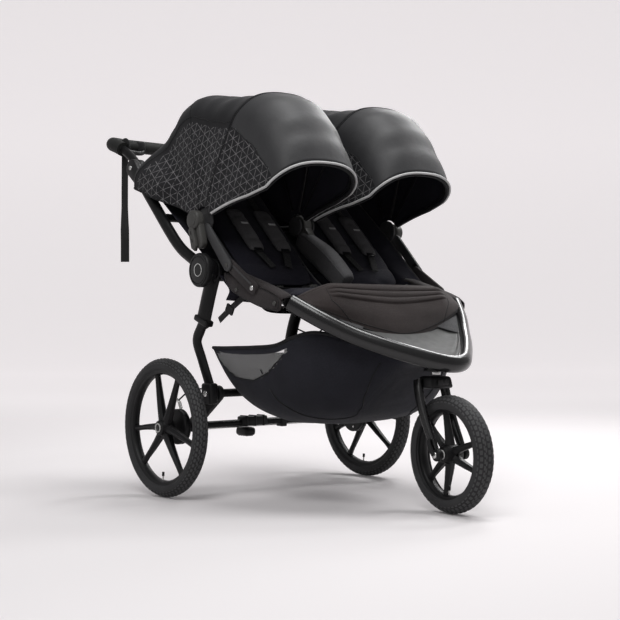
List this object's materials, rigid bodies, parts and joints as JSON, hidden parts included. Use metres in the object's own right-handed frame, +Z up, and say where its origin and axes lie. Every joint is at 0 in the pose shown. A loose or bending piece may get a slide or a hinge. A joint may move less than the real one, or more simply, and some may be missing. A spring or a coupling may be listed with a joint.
{
  "type": "jogging stroller",
  "caption": "Side-by-side double jogging stroller with folding tube frame, canopies, reclining seats, basket, swivel front wheel and spoked air-tyre rear wheels.",
  "frame": {"origin": "bottom centre of the whole object's box, on the ground", "axes": "+Z up, -Y the way the children face, -X the children's right"},
  "size_m": [0.828, 1.3455, 1.1412],
  "materials": {
    "canopy_fabric": "matte woven",
    "tyre": "matte",
    "seat_fabric": "matte woven",
    "panel_fabric": "matte woven",
    "basket_fabric": "matte woven",
    "foam_grip": "matte foam",
    "webbing": "ribbed webbing",
    "steel": "brushed",
    "grey_plastic": "satin",
    "black_plastic": "satin",
    "black_paint": "gloss"
  },
  "bodies": {
    "front_frame": {"front_tube": "black_paint", "seat_crossframe": "black_paint", "leg_rest_panel": "panel_fabric", "foot_plate": "grey_plastic", "basket": "basket_fabric", "steering_head": "black_plastic", "seat_rail_right": "black_paint", "side_cover_right": "panel_fabric", "seat_pad_right": "seat_fabric", "harness_buckle_right": "black_plastic", "seat_rail_left": "black_paint", "side_cover_left": "panel_fabric", "seat_pad_left": "seat_fabric", "harness_buckle_left": "black_plastic"},
    "upper_frame": {"upper_crossframe": "black_paint", "canopy_mount_centre": "grey_plastic", "centre_sleeve": "seat_fabric", "upright_right": "black_paint", "hinge_disc_right": "black_plastic", "canopy_mount_right": "grey_plastic", "canopy_rear_right": "canopy_fabric", "upright_left": "black_paint", "hinge_disc_left": "black_plastic", "canopy_mount_left": "grey_plastic", "canopy_rear_left": "canopy_fabric"},
    "handlebar": {"handle_arm_right": "black_paint", "handle_arm_left": "black_paint", "handle_grip": "foam_grip", "wrist_strap": "webbing"},
    "rear_frame": {"rear_leg_right": "black_paint", "rear_leg_left": "black_paint", "rear_crossframe": "black_paint"},
    "axle": {"axle_frame": "black_paint", "brake_drum_right": "black_plastic", "brake_drum_left": "black_plastic", "brake_rod": "steel"},
    "parking_brake": {"brake_pedal": "black_plastic"},
    "steering": {"fork_crown": "black_plastic"},
    "fork": {"fork_leg_right": "black_paint", "fork_leg_left": "black_paint"},
    "front_wheel": {"tyre_front": "tyre", "rim_front": "black_plastic"},
    "seat_back_right": {"seat_back_right": "seat_fabric", "shoulder_harness_right": "seat_fabric"},
    "canopy_hub_right": {"canopy_mid_bow_right": "black_plastic"},
    "canopy_front_right": {"canopy_front_right": "canopy_fabric", "canopy_front_bow_right": "black_plastic"},
    "upper_brace_right": {"upper_brace_right": "grey_plastic"},
    "lower_brace_right": {"lower_brace_right": "grey_plastic"},
    "rear_wheel_right": {"tyre_rear_right": "tyre", "rim_rear_right": "black_plastic"},
    "seat_back_left": {"seat_back_left": "seat_fabric", "shoulder_harness_left": "seat_fabric"},
    "canopy_hub_left": {"canopy_mid_bow_left": "black_plastic"},
    "canopy_front_left": {"canopy_front_left": "canopy_fabric", "canopy_front_bow_left": "black_plastic"},
    "upper_brace_left": {"upper_brace_left": "grey_plastic"},
    "lower_brace_left": {"lower_brace_left": "grey_plastic"},
    "rear_wheel_left": {"tyre_rear_left": "tyre", "rim_rear_left": "black_plastic"}
  },
  "joints": [
    {"name": "frame_fold", "type": "hinge", "parent": "front_frame", "child": "upper_frame", "pos_m": [0, 0.06579, 0.647], "axis": [1, 0, 0], "range_deg": [0, 92], "deforming": ["centre_sleeve"]},
    {"name": "rear_leg_fold", "type": "hinge", "parent": "front_frame", "child": "rear_frame", "pos_m": [0, 0.06579, 0.647], "axis": [1, 0, 0], "range_deg": [-50.6, 0], "deforming": ["basket"]},
    {"name": "rear_suspension", "type": "hinge", "parent": "rear_frame", "child": "axle", "pos_m": [0, 0.11579, 0.3], "axis": [1, 0, 0], "range_deg": [0, 7], "stiffness_Nm_per_rad": 900, "springref_deg": -1.72},
    {"name": "parking_brake_pedal", "type": "hinge", "parent": "axle", "child": "parking_brake", "pos_m": [0, 0.24679, 0.171], "axis": [1, 0, 0], "range_deg": [0, 18]},
    {"name": "handlebar_tilt", "type": "hinge", "parent": "upper_frame", "child": "handlebar", "pos_m": [0, 0.45179, 0.972], "axis": [1, 0, 0], "range_deg": [-60, 35]},
    {"name": "front_swivel", "type": "hinge", "parent": "front_frame", "child": "steering", "pos_m": [0, -0.45821, 0.34], "axis": [0, 0, 1], "continuous": true},
    {"name": "fork_suspension", "type": "hinge", "parent": "steering", "child": "fork", "pos_m": [0.00175, -0.44331, 0.33], "axis": [-0.9932, 0.1167, 0], "range_deg": [0, 6], "stiffness_Nm_per_rad": 500, "springref_deg": -1.15},
    {"name": "front_wheel_spin", "type": "hinge", "parent": "fork", "child": "front_wheel", "pos_m": [-0.00712, -0.51879, 0.1545], "axis": [0.9932, -0.1167, 0], "continuous": true},
    {"name": "seat_recline_right", "type": "hinge", "parent": "upper_frame", "child": "seat_back_right", "pos_m": [-0.1675, -0.04121, 0.596], "axis": [1, 0, 0], "range_deg": [-6, 14]},
    {"name": "canopy_stow_right", "type": "hinge", "parent": "upper_frame", "child": "canopy_hub_right", "pos_m": [-0.1875, 0.09879, 0.789], "axis": [1, 0, 0], "range_deg": [-66.24, 0]},
    {"name": "canopy_visor_right", "type": "hinge", "parent": "canopy_hub_right", "child": "canopy_front_right", "pos_m": [-0.1875, 0.09879, 0.789], "axis": [1, 0, 0], "range_deg": [-45, 0]},
    {"name": "upper_brace_fold_right", "type": "hinge", "parent": "upper_frame", "child": "upper_brace_right", "pos_m": [-0.3645, 0.06779, 0.764], "axis": [1, 0, 0], "range_deg": [-60.54, 0]},
    {"name": "lower_brace_fold_right", "type": "hinge", "parent": "front_frame", "child": "lower_brace_right", "pos_m": [-0.355, -0.13021, 0.592], "axis": [1, 0, 0], "range_deg": [-84.46, 0]},
    {"name": "rear_wheel_spin_right", "type": "hinge", "parent": "axle", "child": "rear_wheel_right", "pos_m": [-0.391, 0.24679, 0.2], "axis": [1, 0, 0], "continuous": true},
    {"name": "seat_recline_left", "type": "hinge", "parent": "upper_frame", "child": "seat_back_left", "pos_m": [0.1675, -0.04121, 0.596], "axis": [1, 0, 0], "range_deg": [-6, 14]},
    {"name": "canopy_stow_left", "type": "hinge", "parent": "upper_frame", "child": "canopy_hub_left", "pos_m": [0.1875, 0.09879, 0.789], "axis": [1, 0, 0], "range_deg": [-66.24, 0]},
    {"name": "canopy_visor_left", "type": "hinge", "parent": "canopy_hub_left", "child": "canopy_front_left", "pos_m": [0.1875, 0.09879, 0.789], "axis": [1, 0, 0], "range_deg": [-45, 0]},
    {"name": "upper_brace_fold_left", "type": "hinge", "parent": "upper_frame", "child": "upper_brace_left", "pos_m": [0.3645, 0.06779, 0.764], "axis": [1, 0, 0], "range_deg": [-60.54, 0]},
    {"name": "lower_brace_fold_left", "type": "hinge", "parent": "front_frame", "child": "lower_brace_left", "pos_m": [0.355, -0.13021, 0.592], "axis": [1, 0, 0], "range_deg": [-84.46, 0]},
    {"name": "rear_wheel_spin_left", "type": "hinge", "parent": "axle", "child": "rear_wheel_left", "pos_m": [0.391, 0.24679, 0.2], "axis": [1, 0, 0], "continuous": true}
  ],
  "couplings": [
    {"joint": "rear_leg_fold", "follows": "frame_fold", "ratio": -0.55},
    {"joint": "canopy_stow_right", "follows": "frame_fold", "ratio": -0.72},
    {"joint": "upper_brace_fold_right", "follows": "frame_fold", "ratio": -0.658},
    {"joint": "lower_brace_fold_right", "follows": "frame_fold", "ratio": -0.918},
    {"joint": "canopy_stow_left", "follows": "frame_fold", "ratio": -0.72},
    {"joint": "upper_brace_fold_left", "follows": "frame_fold", "ratio": -0.658},
    {"joint": "lower_brace_fold_left", "follows": "frame_fold", "ratio": -0.918}
  ]
}
